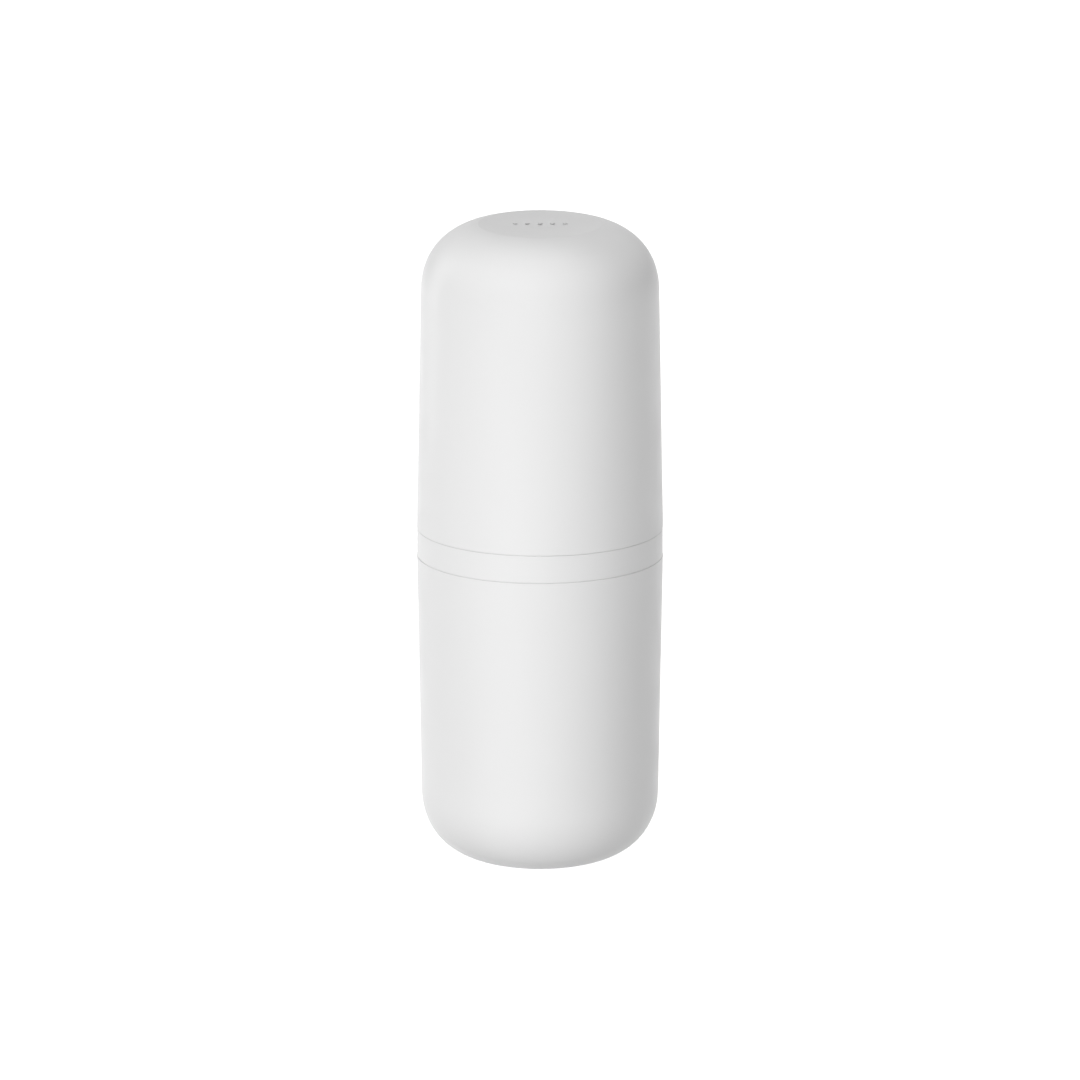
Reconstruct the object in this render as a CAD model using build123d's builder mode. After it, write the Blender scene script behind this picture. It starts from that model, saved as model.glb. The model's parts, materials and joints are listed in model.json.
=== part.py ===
from build123d import *

import math
import os

# Toothbrush sanitizer: an upright capsule in three white mouldings. A cup holds the brush handles,
# a collar carries the brush holder, and a tall cover goes over the brush heads. The cover's top end
# holds the ultraviolet lamp, its board and its battery.
# Millimetres. The origin is at the centre of the base, +Z is up, and -Y is the plain front.
# Azimuths are degrees round +Z from +X, so the back is at 90.

# ---------------------------------------------------------------- driving dimensions

# outside form
waist_radius = 42.5
draft = math.tan(math.radians(1.0))
cup_bottom_z = 0.4
cup_shoulder_z = 23.6
lower_seam_z = 107.7
upper_seam_z = 117.35
cover_shoulder_z = 201.5
crest_z = 224.2
crest_radius = 21.25
crest_slope = 8.0
dish_slope = 5.0
dish_depth = 0.8
shoulder_pull = 14.5
crest_pull = 9.1
rib_count = 5
rib_pitch = 4.3
rib_size = (8.0, 1.6)
rib_height = 0.4
rib_y = 6.0
base_flat_radius = 20.2
base_edge_angle = 8.0
band_inset = 0.1
seam_chamfer = 0.15

# walls
cup_wall = 2.6
cover_wall = 2.8
ceiling_wall = 2.7
floor_thickness = 3.0

# the two push fits at the collar
bore_radius = 40.05
spigot_radius = 39.8
spigot_bore_radius = 36.9
spigot_top_z = upper_seam_z + 10.0
spigot_bottom_z = lower_seam_z - 9.0
seal_major_radius = 39.15
seal_minor_radius = 0.8
seal_groove_width = 1.7
cover_seal_z = upper_seam_z + 8.1
cup_seal_z = lower_seam_z - 5.4
shelf_radius = 34.7
shelf_bottom_z = upper_seam_z - 0.5
shelf_top_z = upper_seam_z + 1.5
key_azimuth = 180.0
key_width = 2.4
key_height = 5.0
key_radius = 40.7
key_clearance = 0.2

# brush holder
holder_radius = 36.1
holder_thickness = 2.6
brush_hole_radius = 8.5
brush_hole_circle = 19.0
brush_hole_count = 4
drain_hole_radius = 1.4
drain_hole_circle = 32.3
drain_hole_count = 12
knob_radius = 3.6
knob_head_radius = 5.2
knob_height = 13.0

# rest for the brush handles, and the base pad
pad_radius = 18.5
pad_thickness = 0.8
pad_ring_inner_radius = 9.0
rest_radius = 23.4
rest_bottom_z = 4.8
rest_thickness = 1.6
rest_leg_radius = 15.0

# reflector liner, window and lamp
liner_radius = 36.4
liner_thickness = 0.8
liner_bottom_z = spigot_top_z + 0.5
liner_flange_radius = 39.85
liner_corner_radius = 12.0
liner_top_z = 197.0
liner_hole_radius = 12.2
window_radius = 14.0
window_thickness = 1.2
window_seal_thickness = 1.0
lamp_hole_radius = 11.5
lamp_count = 4
lamp_circle = 6.0
lamp_size = 3.5
lamp_height = 1.4

# lamp carrier and boards
carrier_radius = 37.9
carrier_thickness = 2.4
carrier_seal_major_radius = 37.5
carrier_seal_minor_radius = 0.7
tower_height = 1.4
tower_radius = 17.5
led_board_radius = 17.0
led_board_thickness = 1.6
led_screw_offset = 14.8
board_gap = 0.6
main_board_radius = 34.8
main_board_thickness = 1.0
boss_circle = 34.0
boss_radius = 3.2
boss_azimuths = (30.0, 150.0, 270.0)
post_circle = 27.0
post_radius = 2.4
post_azimuths = (90.0, 210.0, 330.0)

# battery
cell_radius = 7.0
cell_length = 50.0
cell_y = -3.0
cell_lift = 0.6
cell_end_gap = 0.4

# screws
pilot_radius = 1.0
shank_radius = 0.98
head_radius = 1.9
head_height = 1.2
pilot_depth = 8.0

# controls on the back of the cover
port_azimuth = 116.0
button_azimuth = 64.0
light_azimuth = 90.0
port_height = 3.2
flap_size = (13.0, 7.0)
flap_corner_radius = 1.2
flap_clearance = 0.15
flap_floor = 38.4
hinge_bead_radius = 0.7
hinge_length = 9.0
hinge_distance = 40.2
port_pad_size = (17.0, 9.6)
port_pad_face = 37.2
button_radius = 4.0
button_clearance = 0.15
button_proud = 0.4
button_pad_radius = 5.9
button_pad_face = 37.0
light_pipe_radius = 1.2

# lid interlock
interlock_azimuth = 0.0
magnet_radius = 2.0
magnet_thickness = 1.5
magnet_z = shelf_top_z + 1.9
sensor_lead_radius = 34.4

# ---------------------------------------------------------------- derived places and outlines

carrier_z = liner_top_z
carrier_top_z = carrier_z + carrier_thickness
window_z = carrier_z + window_seal_thickness
window_top_z = window_z + window_thickness
tower_top_z = carrier_top_z + tower_height
led_board_top_z = tower_top_z + led_board_thickness
main_board_z = led_board_top_z + board_gap
board_top_z = main_board_z + main_board_thickness
controls_z = board_top_z + port_height / 2
ledge_z = liner_bottom_z + liner_thickness
dish_z = crest_z - dish_depth
holder_top_z = shelf_top_z + holder_thickness
floor_z = cup_bottom_z + floor_thickness
outer_liner_radius = liner_radius + liner_thickness
band_radius = waist_radius - band_inset
seal_groove_floor = seal_major_radius - seal_minor_radius


def cover_radius(z):
    """Outside radius of the cover's drafted wall."""
    return waist_radius - draft * (z - upper_seam_z)


def cup_radius(z):
    """Outside radius of the cup's drafted wall."""
    return waist_radius - draft * (lower_seam_z - z)


def wall_plane(azimuth, distance, z=controls_z):
    """A plane facing radially outward: its x runs round the wall and its y points up."""
    angle = math.radians(azimuth)
    out = Vector(math.cos(angle), math.sin(angle), 0)
    across = Vector(-math.sin(angle), math.cos(angle), 0)
    return Plane(origin=out * distance + Vector(0, 0, z), x_dir=across, z_dir=out)


def polar_point(radius, azimuth):
    """The x and y of a point at a radius and an azimuth."""
    angle = math.radians(azimuth)
    return (radius * math.cos(angle), radius * math.sin(angle))


hinge_point = wall_plane(
    port_azimuth, hinge_distance, controls_z - flap_size[1] / 2 + hinge_bead_radius
).origin


def finish(builder, name, colour):
    """Labels a finished piece and writes its STEP file."""
    builder.part.label = name
    builder.part.color = Color(*colour)
    export_step(builder.part, os.path.join("parts", name + ".step"))


os.makedirs("parts", exist_ok=True)

white = (0.93, 0.93, 0.92)
silicone = (0.8, 0.82, 0.83)
metal = (0.75, 0.76, 0.78)
green = (0.1, 0.35, 0.2)
dark = (0.12, 0.12, 0.13)
clear = (0.8, 0.9, 1.0)

# ---------------------------------------------------------------- cup

with BuildPart() as lower_cup:
    shoulder = cup_radius(cup_shoulder_z)
    edge_angle = math.radians(base_edge_angle)
    with BuildSketch(Plane.XZ):
        with BuildLine():
            Polyline((0, lower_seam_z), (0, cup_bottom_z), (base_flat_radius, cup_bottom_z))
            Bezier(
                (base_flat_radius, cup_bottom_z),
                (base_flat_radius + 11.5, cup_bottom_z + 11.5 * math.tan(edge_angle)),
                (shoulder - 13.6 * draft, cup_shoulder_z - 13.6),
                (shoulder, cup_shoulder_z),
            )
            Polyline((shoulder, cup_shoulder_z), (waist_radius, lower_seam_z), (0, lower_seam_z))
        make_face()
    revolve(axis=Axis.Z)
    # the inside, with a straight bore for the collar's spigot
    inner_shoulder = shoulder - cup_wall
    bore_end_z = spigot_bottom_z - 0.3
    with BuildSketch(Plane.XZ):
        with BuildLine():
            Polyline((0, lower_seam_z), (0, floor_z), (base_flat_radius - 2, floor_z))
            Bezier(
                (base_flat_radius - 2, floor_z),
                (base_flat_radius + 10.0, floor_z + 1.3),
                (inner_shoulder, cup_shoulder_z - 11),
                (inner_shoulder, cup_shoulder_z),
            )
            Polyline(
                (inner_shoulder, cup_shoulder_z),
                (cup_radius(bore_end_z) - cup_wall, bore_end_z),
                (bore_radius, bore_end_z),
                (bore_radius, lower_seam_z),
                (0, lower_seam_z),
            )
        make_face()
    revolve(axis=Axis.Z, mode=Mode.SUBTRACT)
    # recess for the base pad
    with BuildSketch(Plane.XY.offset(cup_bottom_z)):
        Circle(pad_radius + 0.1)
    extrude(amount=pad_thickness, mode=Mode.SUBTRACT)
    rim = lower_cup.edges().filter_by(GeomType.CIRCLE).group_by(Axis.Z)[-1]
    chamfer(rim.sort_by(SortBy.RADIUS)[-1], seam_chamfer)
finish(lower_cup, "lower_cup", white)

with BuildPart() as base_pad:
    with BuildSketch():
        Circle(pad_radius)
    extrude(amount=cup_bottom_z + pad_thickness)
    with BuildSketch():
        Circle(pad_ring_inner_radius)
    extrude(amount=cup_bottom_z, mode=Mode.SUBTRACT)
    fillet(base_pad.edges().group_by(Axis.Z)[0].sort_by(SortBy.RADIUS)[-1], 0.25)
finish(base_pad, "base_pad", silicone)

with BuildPart() as handle_rest:
    with BuildSketch(Plane.XY.offset(rest_bottom_z)):
        Circle(rest_radius)
    extrude(amount=rest_thickness)
    fillet(handle_rest.edges().group_by(Axis.Z)[-1], 0.8)
    # a round foot stands it off the floor of the cup
    with BuildSketch(Plane.XY.offset(floor_z)):
        Circle(rest_leg_radius)
        Circle(rest_leg_radius - 1.6, mode=Mode.SUBTRACT)
    extrude(amount=rest_bottom_z - floor_z)
    # rings of drain holes
    with BuildSketch(Plane.XY.offset(rest_bottom_z)):
        Circle(1.5)
        for circle, count in ((6.5, 6), (11.0, 12), (18.7, 18)):
            with PolarLocations(circle, count):
                Circle(1.5)
    extrude(amount=rest_thickness, mode=Mode.SUBTRACT)
finish(handle_rest, "handle_rest", silicone)

# ---------------------------------------------------------------- collar

with BuildPart() as collar:
    with BuildSketch(Plane.XZ):
        with BuildLine():
            Polyline(
                (spigot_bore_radius, spigot_bottom_z),
                (spigot_radius, spigot_bottom_z),
                (spigot_radius, lower_seam_z),
                (band_radius, lower_seam_z),
                (band_radius, upper_seam_z),
                (spigot_radius, upper_seam_z),
                (spigot_radius, spigot_top_z),
                (spigot_bore_radius, spigot_top_z),
                (spigot_bore_radius, shelf_top_z),
                (shelf_radius, shelf_top_z),
                (shelf_radius, shelf_bottom_z),
                (spigot_bore_radius, shelf_bottom_z - 2),
                close=True,
            )
        make_face()
    revolve(axis=Axis.Z)
    outer_edges = collar.edges().filter_by(GeomType.CIRCLE).sort_by(SortBy.RADIUS)[-2:]
    chamfer(outer_edges, seam_chamfer)
    # lead-in on both spigots
    spigot_ends = collar.edges().filter_by(GeomType.CIRCLE).group_by(Axis.Z)
    chamfer([spigot_ends[0].sort_by(SortBy.RADIUS)[-1], spigot_ends[-1].sort_by(SortBy.RADIUS)[-1]], 0.6)
    # grooves for the two seals
    for groove_z in (cover_seal_z, cup_seal_z):
        with BuildSketch(Plane.XY.offset(groove_z - seal_groove_width / 2)):
            Circle(spigot_radius + 1)
            Circle(seal_groove_floor, mode=Mode.SUBTRACT)
        extrude(amount=seal_groove_width, mode=Mode.SUBTRACT)
    # key that lets the cover go on one way only
    with BuildSketch(wall_plane(key_azimuth, spigot_radius - 1, upper_seam_z + key_height / 2)):
        Rectangle(key_width, key_height)
    extrude(amount=key_radius - spigot_radius + 1)
    # pocket for the magnet, open to the inside of the spigot
    with BuildSketch(wall_plane(interlock_azimuth, spigot_bore_radius - 0.5, magnet_z)):
        Circle(magnet_radius + 0.05)
    extrude(amount=magnet_thickness + 0.65, mode=Mode.SUBTRACT)
finish(collar, "collar", white)

for seal_name, seal_z in (("cover_seal", cover_seal_z), ("cup_seal", cup_seal_z)):
    with BuildPart() as seal:
        with BuildSketch(Plane.XZ):
            with Locations((seal_major_radius, seal_z)):
                Circle(seal_minor_radius)
        revolve(axis=Axis.Z)
    finish(seal, seal_name, silicone)

with BuildPart() as interlock_magnet:
    with BuildSketch(wall_plane(interlock_azimuth, spigot_bore_radius + 0.1, magnet_z)):
        Circle(magnet_radius)
    extrude(amount=magnet_thickness)
    chamfer(interlock_magnet.edges(), 0.15)
finish(interlock_magnet, "interlock_magnet", metal)

with BuildPart() as brush_holder:
    with BuildSketch(Plane.XY.offset(shelf_top_z)):
        Circle(holder_radius)
        with PolarLocations(brush_hole_circle, brush_hole_count, start_angle=45):
            Circle(brush_hole_radius, mode=Mode.SUBTRACT)
        with PolarLocations(drain_hole_circle, drain_hole_count):
            Circle(drain_hole_radius, mode=Mode.SUBTRACT)
    extrude(amount=holder_thickness)
    top_edges = brush_holder.edges().filter_by(GeomType.CIRCLE).group_by(Axis.Z)[-1]
    chamfer(top_edges.filter_by(lambda edge: edge.radius > drain_hole_radius + 1), 0.8)
    # knob to lift the holder by
    knob_top_z = holder_top_z + knob_height
    with BuildSketch(Plane.XZ):
        with BuildLine():
            Polyline((0, knob_top_z), (0, holder_top_z), (knob_radius + 1, holder_top_z))
            Bezier(
                (knob_radius + 1, holder_top_z),
                (knob_radius - 1.2, holder_top_z + 4),
                (knob_radius - 1.2, knob_top_z - 6),
                (knob_head_radius, knob_top_z - 1.5),
            )
            Bezier(
                (knob_head_radius, knob_top_z - 1.5),
                (knob_head_radius + 0.4, knob_top_z),
                (knob_head_radius - 1.5, knob_top_z),
                (0, knob_top_z),
            )
        make_face()
    revolve(axis=Axis.Z)
finish(brush_holder, "brush_holder", white)

# ---------------------------------------------------------------- cover

shoulder_radius = cover_radius(cover_shoulder_z)
# the outside meets the crest sloping up, and the dish falls away from it
crest_fall = crest_pull * math.tan(math.radians(crest_slope))
dish_fall = crest_radius * 0.18 * math.tan(math.radians(dish_slope))

# the outside form, closed
with BuildPart() as cover_form:
    with BuildSketch(Plane.XZ):
        with BuildLine():
            Polyline((0, dish_z), (0, upper_seam_z), (waist_radius, upper_seam_z))
            Line((waist_radius, upper_seam_z), (shoulder_radius, cover_shoulder_z))
            Bezier(
                (shoulder_radius, cover_shoulder_z),
                (shoulder_radius - shoulder_pull * draft, cover_shoulder_z + shoulder_pull),
                (crest_radius + crest_pull, crest_z - crest_fall),
                (crest_radius, crest_z),
            )
            # the finger dish, steepest just inside its crest
            Bezier(
                (crest_radius, crest_z),
                (crest_radius * 0.82, crest_z - dish_fall),
                (crest_radius * 0.42, dish_z),
                (0, dish_z),
            )
        make_face()
    revolve(axis=Axis.Z)

# the hollow inside, less the pads and bosses that stand in it
with BuildPart() as cover_hollow:
    inner_radius = shoulder_radius - cover_wall
    ceiling_z = crest_z - ceiling_wall
    with BuildSketch(Plane.XZ):
        with BuildLine():
            Polyline(
                (0, dish_z - ceiling_wall),
                (0, upper_seam_z),
                (bore_radius, upper_seam_z),
                (bore_radius, ledge_z),
                (cover_radius(ledge_z) - cover_wall, ledge_z),
                (inner_radius, cover_shoulder_z),
            )
            Bezier(
                (inner_radius, cover_shoulder_z),
                (inner_radius - 0.2, cover_shoulder_z + shoulder_pull - 1.2),
                (crest_radius + crest_pull - 1.0, ceiling_z - crest_fall),
                (crest_radius, ceiling_z),
            )
            Bezier(
                (crest_radius, ceiling_z),
                (crest_radius * 0.82, ceiling_z - dish_fall),
                (crest_radius * 0.42, dish_z - ceiling_wall),
                (0, dish_z - ceiling_wall),
            )
        make_face()
    revolve(axis=Axis.Z)
    # screw bosses
    with BuildSketch(Plane.XY.offset(carrier_top_z)):
        for azimuth in boss_azimuths:
            with Locations(polar_point(boss_circle, azimuth)):
                Circle(boss_radius)
    extrude(amount=crest_z - carrier_top_z, mode=Mode.SUBTRACT)
    # flat pads behind the button and the charging port
    with BuildSketch(wall_plane(button_azimuth, button_pad_face)):
        Circle(button_pad_radius)
    extrude(amount=5, mode=Mode.SUBTRACT)
    with BuildSketch(wall_plane(port_azimuth, port_pad_face)):
        RectangleRounded(*port_pad_size, 2.0)
    extrude(amount=5, mode=Mode.SUBTRACT)

with BuildPart() as upper_cover:
    add(cover_form.part)
    rim = upper_cover.edges().filter_by(GeomType.CIRCLE).group_by(Axis.Z)[0]
    chamfer(rim.sort_by(SortBy.RADIUS)[-1], seam_chamfer)
    add(cover_hollow.part, mode=Mode.SUBTRACT)
    # pilot holes in the bosses
    with BuildSketch(Plane.XY.offset(carrier_top_z)):
        for azimuth in boss_azimuths:
            with Locations(polar_point(boss_circle, azimuth)):
                Circle(pilot_radius)
    extrude(amount=pilot_depth, mode=Mode.SUBTRACT)
    # keyway for the collar's key
    with BuildSketch(wall_plane(key_azimuth, bore_radius - 2, upper_seam_z + (key_height + 0.5) / 2)):
        Rectangle(key_width + 2 * key_clearance, key_height + 0.5)
    extrude(amount=key_radius + key_clearance - bore_radius + 2, mode=Mode.SUBTRACT)
    # charging port: pocket for the flap, fingernail notch and slot for the socket
    with BuildSketch(wall_plane(port_azimuth, flap_floor)):
        RectangleRounded(
            flap_size[0] + 2 * flap_clearance, flap_size[1] + 2 * flap_clearance, flap_corner_radius
        )
    extrude(amount=4, mode=Mode.SUBTRACT)
    with BuildSketch(wall_plane(port_azimuth, flap_floor + 0.6)):
        with Locations((0, flap_size[1] / 2 + 0.2)):
            Circle(2.4)
    extrude(amount=4, mode=Mode.SUBTRACT)
    with BuildSketch(wall_plane(port_azimuth, flap_floor - 2)):
        SlotOverall(9.3, 3.6)
    extrude(amount=3, mode=Mode.SUBTRACT)
    # holes for the button, with room inside for its flange, and for the light pipe
    with BuildSketch(wall_plane(button_azimuth, button_pad_face - 5)):
        Circle(button_radius + 1.6)
    extrude(amount=5, mode=Mode.SUBTRACT)
    with BuildSketch(wall_plane(button_azimuth, button_pad_face - 1)):
        Circle(button_radius + button_clearance)
    extrude(amount=6, mode=Mode.SUBTRACT)
    with BuildSketch(wall_plane(light_azimuth, flap_floor - 3)):
        Circle(light_pipe_radius + 0.05)
    extrude(amount=6, mode=Mode.SUBTRACT)
    # row of raised ribs in the dish, to find the top by touch
    with BuildSketch(Plane.XY.offset(dish_z - 0.5)):
        with Locations((0, rib_y)):
            with GridLocations(rib_pitch, 0, rib_count, 1):
                SlotOverall(*rib_size, rotation=90)
    extrude(amount=0.5 + rib_height)
finish(upper_cover, "upper_cover", white)

with BuildPart() as reflector_liner:
    corner_centre = (outer_liner_radius - liner_corner_radius, liner_top_z - liner_corner_radius)
    inner_corner_radius = liner_corner_radius - liner_thickness
    with BuildSketch(Plane.XZ):
        with BuildLine():
            Polyline(
                (liner_hole_radius, liner_top_z),
                (liner_hole_radius, liner_top_z - liner_thickness),
                (corner_centre[0], liner_top_z - liner_thickness),
            )
            CenterArc(corner_centre, inner_corner_radius, 0, 90)
            Polyline(
                (liner_radius, corner_centre[1]),
                (liner_radius, liner_bottom_z),
                (liner_flange_radius, liner_bottom_z),
                (liner_flange_radius, ledge_z),
                (outer_liner_radius, ledge_z),
                (outer_liner_radius, corner_centre[1]),
            )
            CenterArc(corner_centre, liner_corner_radius, 0, 90)
            Line((corner_centre[0], liner_top_z), (liner_hole_radius, liner_top_z))
        make_face()
    revolve(axis=Axis.Z)
finish(reflector_liner, "reflector_liner", metal)

# ---------------------------------------------------------------- lamp

with BuildPart() as lamp_carrier:
    with BuildSketch(Plane.XY.offset(carrier_z)):
        Circle(carrier_radius)
    extrude(amount=carrier_thickness)
    with BuildSketch(Plane.XY.offset(carrier_top_z)):
        Circle(tower_radius)
    extrude(amount=tower_top_z - carrier_top_z)
    with BuildSketch(Plane.XY.offset(carrier_top_z)):
        for azimuth in post_azimuths:
            with Locations(polar_point(post_circle, azimuth)):
                Circle(post_radius)
    extrude(amount=main_board_z - carrier_top_z)
    # the lamp's opening, and the seat for the window and its seal
    with BuildSketch(Plane.XY.offset(carrier_z)):
        Circle(lamp_hole_radius)
    extrude(amount=tower_top_z - carrier_z, mode=Mode.SUBTRACT)
    with BuildSketch(Plane.XY.offset(carrier_z)):
        Circle(window_radius + 0.1)
    extrude(amount=window_top_z - carrier_z, mode=Mode.SUBTRACT)
    # groove round the rim for the carrier's seal
    groove_width = 2 * carrier_seal_minor_radius + 0.1
    with BuildSketch(Plane.XY.offset(carrier_z + (carrier_thickness - groove_width) / 2)):
        Circle(carrier_radius + 1)
        Circle(carrier_seal_major_radius - carrier_seal_minor_radius, mode=Mode.SUBTRACT)
    extrude(amount=groove_width, mode=Mode.SUBTRACT)
    # holes: carrier screws with their heads sunk, board posts, lamp board and sensor lead
    with BuildSketch(Plane.XY.offset(carrier_z)):
        for azimuth in boss_azimuths:
            with Locations(polar_point(boss_circle, azimuth)):
                Circle(shank_radius + 0.15)
    extrude(amount=carrier_thickness, mode=Mode.SUBTRACT)
    with BuildSketch(Plane.XY.offset(carrier_z)):
        for azimuth in boss_azimuths:
            with Locations(polar_point(boss_circle, azimuth)):
                Circle(head_radius + 0.15)
    extrude(amount=head_height / 2, mode=Mode.SUBTRACT)
    with BuildSketch(Plane.XY.offset(carrier_top_z - 0.4)):
        for azimuth in post_azimuths:
            with Locations(polar_point(post_circle, azimuth)):
                Circle(pilot_radius)
    extrude(amount=main_board_z - carrier_top_z + 0.4, mode=Mode.SUBTRACT)
    with BuildSketch(Plane.XY.offset(carrier_top_z - 0.1)):
        with Locations((led_screw_offset, 0), (-led_screw_offset, 0)):
            Circle(pilot_radius)
    extrude(amount=tower_height + 0.1, mode=Mode.SUBTRACT)
    with BuildSketch(Plane.XY.offset(carrier_z)):
        with Locations(polar_point(sensor_lead_radius, interlock_azimuth)):
            Circle(0.6)
    extrude(amount=carrier_thickness, mode=Mode.SUBTRACT)
finish(lamp_carrier, "lamp_carrier", white)

with BuildPart() as carrier_seal:
    with BuildSketch(Plane.XZ):
        with Locations((carrier_seal_major_radius, carrier_z + carrier_thickness / 2)):
            Circle(carrier_seal_minor_radius)
    revolve(axis=Axis.Z)
finish(carrier_seal, "carrier_seal", silicone)

with BuildPart() as window_seal:
    with BuildSketch(Plane.XY.offset(carrier_z)):
        Circle(window_radius)
        Circle(liner_hole_radius, mode=Mode.SUBTRACT)
    extrude(amount=window_seal_thickness)
finish(window_seal, "window_seal", silicone)

with BuildPart() as uv_window:
    with BuildSketch(Plane.XY.offset(window_z)):
        Circle(window_radius)
    extrude(amount=window_thickness)
finish(uv_window, "uv_window", clear)

with BuildPart() as led_board:
    with BuildSketch(Plane.XY.offset(tower_top_z)):
        Circle(led_board_radius)
        with Locations((led_screw_offset, 0), (-led_screw_offset, 0)):
            Circle(shank_radius + 0.12, mode=Mode.SUBTRACT)
    extrude(amount=led_board_thickness)
finish(led_board, "led_board", metal)

with BuildPart() as uv_leds:
    # ceramic package and clear dome of each lamp, facing down
    with BuildSketch(Plane.XY.offset(tower_top_z - lamp_height / 2)):
        with PolarLocations(lamp_circle, lamp_count):
            Rectangle(lamp_size, lamp_size)
    extrude(amount=lamp_height / 2)
    with BuildSketch(Plane.XY.offset(tower_top_z - lamp_height)):
        with PolarLocations(lamp_circle, lamp_count):
            Circle(lamp_size * 0.36)
    extrude(amount=lamp_height / 2)
finish(uv_leds, "uv_leds", white)

with BuildPart() as board_link:
    with BuildSketch(Plane.XY.offset(led_board_top_z)):
        with Locations((0, -8)):
            Rectangle(7.6, 2.5)
    extrude(amount=main_board_z - led_board_top_z)
finish(board_link, "board_link", dark)

# ---------------------------------------------------------------- main board and what is on it

with BuildPart() as main_board:
    with BuildSketch(Plane.XY.offset(main_board_z)):
        Circle(main_board_radius)
        for azimuth in boss_azimuths:
            with Locations(polar_point(boss_circle, azimuth)):
                Circle(boss_radius + 0.6, mode=Mode.SUBTRACT)
        for azimuth in post_azimuths:
            with Locations(polar_point(post_circle, azimuth)):
                Circle(shank_radius + 0.12, mode=Mode.SUBTRACT)
        # room for the heads of the lamp board's screws
        with Locations((led_screw_offset, 0), (-led_screw_offset, 0)):
            Circle(head_radius + 0.4, mode=Mode.SUBTRACT)
    extrude(amount=main_board_thickness)
finish(main_board, "main_board", green)

with BuildPart() as board_chips:
    # charger, controller, coil, driver and capacitors: centre, size and height of each
    chips = (
        ((-10.0, 20.0), (5.0, 5.0), 0.9),
        ((9.5, 18.0), (6.0, 6.0), 2.8),
        ((0.0, 14.0), (5.0, 5.0), 0.9),
        ((-21.0, 12.0), (3.2, 3.2), 0.9),
        ((-16.0, 14.5), (2.0, 1.25), 0.8),
        ((20.0, 11.0), (3.5, 2.8), 1.1),
        ((15.0, 12.0), (2.0, 1.25), 0.8),
        ((-12.0, -20.0), (4.0, 5.0), 0.9),
        ((10.0, -21.0), (5.4, 5.4), 4.2),
    )
    for centre, size, height in chips:
        with BuildSketch(Plane.XY.offset(board_top_z)):
            with Locations(centre):
                Rectangle(*size)
        extrude(amount=height)
finish(board_chips, "board_chips", dark)

port_mouth = 38.2
port_length = 7.3
port_width = 8.94
with BuildPart() as usb_port:
    with BuildSketch(wall_plane(port_azimuth, port_mouth - port_length)):
        SlotOverall(port_width, port_height)
    extrude(amount=port_length)
    with BuildSketch(wall_plane(port_azimuth, port_mouth - port_length + 1.1)):
        SlotOverall(port_width - 0.6, port_height - 0.6)
    extrude(amount=port_length, mode=Mode.SUBTRACT)
    # the tongue that carries the contacts
    with BuildSketch(wall_plane(port_azimuth, port_mouth - port_length + 1.1)):
        Rectangle(6.2, 0.7)
    extrude(amount=port_length - 2.7)
finish(usb_port, "usb_port", metal)

switch_face = 33.0
switch_depth = 3.6
plunger_radius = 0.8
plunger_end = 34.0
with BuildPart() as switch_body:
    with BuildSketch(wall_plane(button_azimuth, switch_face - switch_depth)):
        Rectangle(6.0, port_height)
    extrude(amount=switch_depth)
    with BuildSketch(wall_plane(button_azimuth, switch_face - 1.8)):
        Circle(plunger_radius + 0.1)
    extrude(amount=1.8, mode=Mode.SUBTRACT)
finish(switch_body, "switch_body", dark)

with BuildPart() as switch_plunger:
    with BuildSketch(wall_plane(button_azimuth, switch_face - 1.0)):
        Circle(plunger_radius)
    extrude(amount=plunger_end - switch_face + 1.0)
finish(switch_plunger, "switch_plunger", white)

with BuildPart() as status_led:
    with BuildSketch(wall_plane(light_azimuth, 32.6, board_top_z + 1.1)):
        Rectangle(2.8, 2.2)
    extrude(amount=1.4)
finish(status_led, "status_led", white)

with BuildPart() as sensor_socket:
    with BuildSketch(Plane.XY.offset(main_board_z - 2.6)):
        with Locations((sensor_lead_radius - 3.4, 0)):
            Rectangle(3.4, 5.2)
    extrude(amount=2.6)
finish(sensor_socket, "sensor_socket", white)

# ---------------------------------------------------------------- battery

cell_z = board_top_z + cell_lift + cell_radius
holder_end = 2.4

with BuildPart() as cell_holder:
    with BuildSketch(Plane.XY.offset(board_top_z)):
        with Locations((0, cell_y)):
            RectangleRounded(cell_length + 2 * (cell_end_gap + holder_end), 16.0, 1.5)
    extrude(amount=cell_lift + 8.4)
    # trough for the cell, and a gap in each side to lift the cell out by
    trough_end = cell_length / 2 + cell_end_gap
    with BuildSketch(Plane.YZ.offset(-trough_end)):
        with Locations((cell_y, cell_z)):
            Circle(cell_radius + 0.15)
        with Locations((cell_y, cell_z + 5)):
            Rectangle(2 * cell_radius + 0.3, 10)
    extrude(amount=2 * trough_end, mode=Mode.SUBTRACT)
    with BuildSketch(Plane.XZ.offset(-cell_y)):
        with Locations((0, cell_z + 2)):
            SlotOverall(22.0, 9.0)
    extrude(amount=20, both=True, mode=Mode.SUBTRACT)
finish(cell_holder, "cell_holder", dark)

with BuildPart() as battery_cell:
    with BuildSketch(Plane.YZ.offset(-cell_length / 2)):
        with Locations((cell_y, cell_z)):
            Circle(cell_radius)
    extrude(amount=cell_length - 1.2)
    fillet(battery_cell.edges(), 0.5)
    # raised positive cap
    with BuildSketch(Plane.YZ.offset(cell_length / 2 - 1.2)):
        with Locations((cell_y, cell_z)):
            Circle(2.75)
    extrude(amount=1.2)
finish(battery_cell, "battery_cell", metal)

with BuildPart() as cell_contacts:
    for start in (cell_length / 2, -cell_length / 2 - 0.35):
        with BuildSketch(Plane.YZ.offset(start)):
            with Locations((cell_y, cell_z - 1)):
                RectangleRounded(6.0, 8.0, 1.0)
        extrude(amount=0.35)
finish(cell_contacts, "cell_contacts", metal)

# ---------------------------------------------------------------- fasteners


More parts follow.
